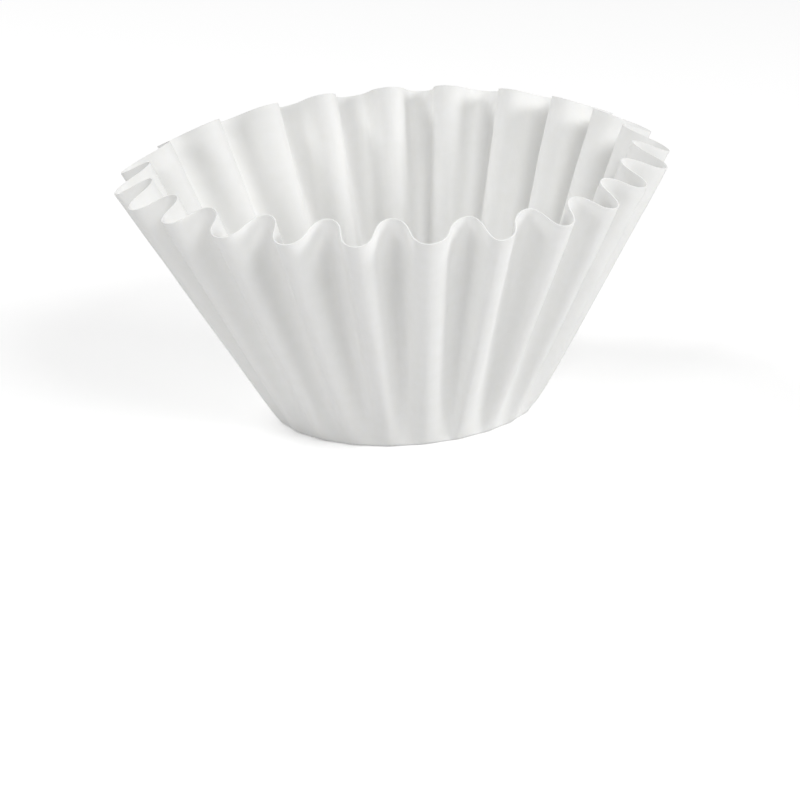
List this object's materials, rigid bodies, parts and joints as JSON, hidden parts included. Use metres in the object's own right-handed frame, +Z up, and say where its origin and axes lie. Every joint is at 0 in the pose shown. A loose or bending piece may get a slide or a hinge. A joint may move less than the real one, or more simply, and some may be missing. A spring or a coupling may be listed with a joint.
{
  "type": "paper coffee filter",
  "caption": "Basket coffee filter of white creped paper: one sheet folded into a round flat base and a fluted, flared wall with an open top.",
  "frame": {"origin": "centre of the underside of the flat base", "axes": "+Z up, out of the open top; -Y is the side that faces the picture's camera, +X to its right"},
  "size_m": [0.1666, 0.1599, 0.08],
  "materials": {
    "filter_paper": "matt white creped filter paper, unprinted"
  },
  "bodies": {
    "root": {"coffee_filter": "filter_paper"}
  },
  "joints": []
}
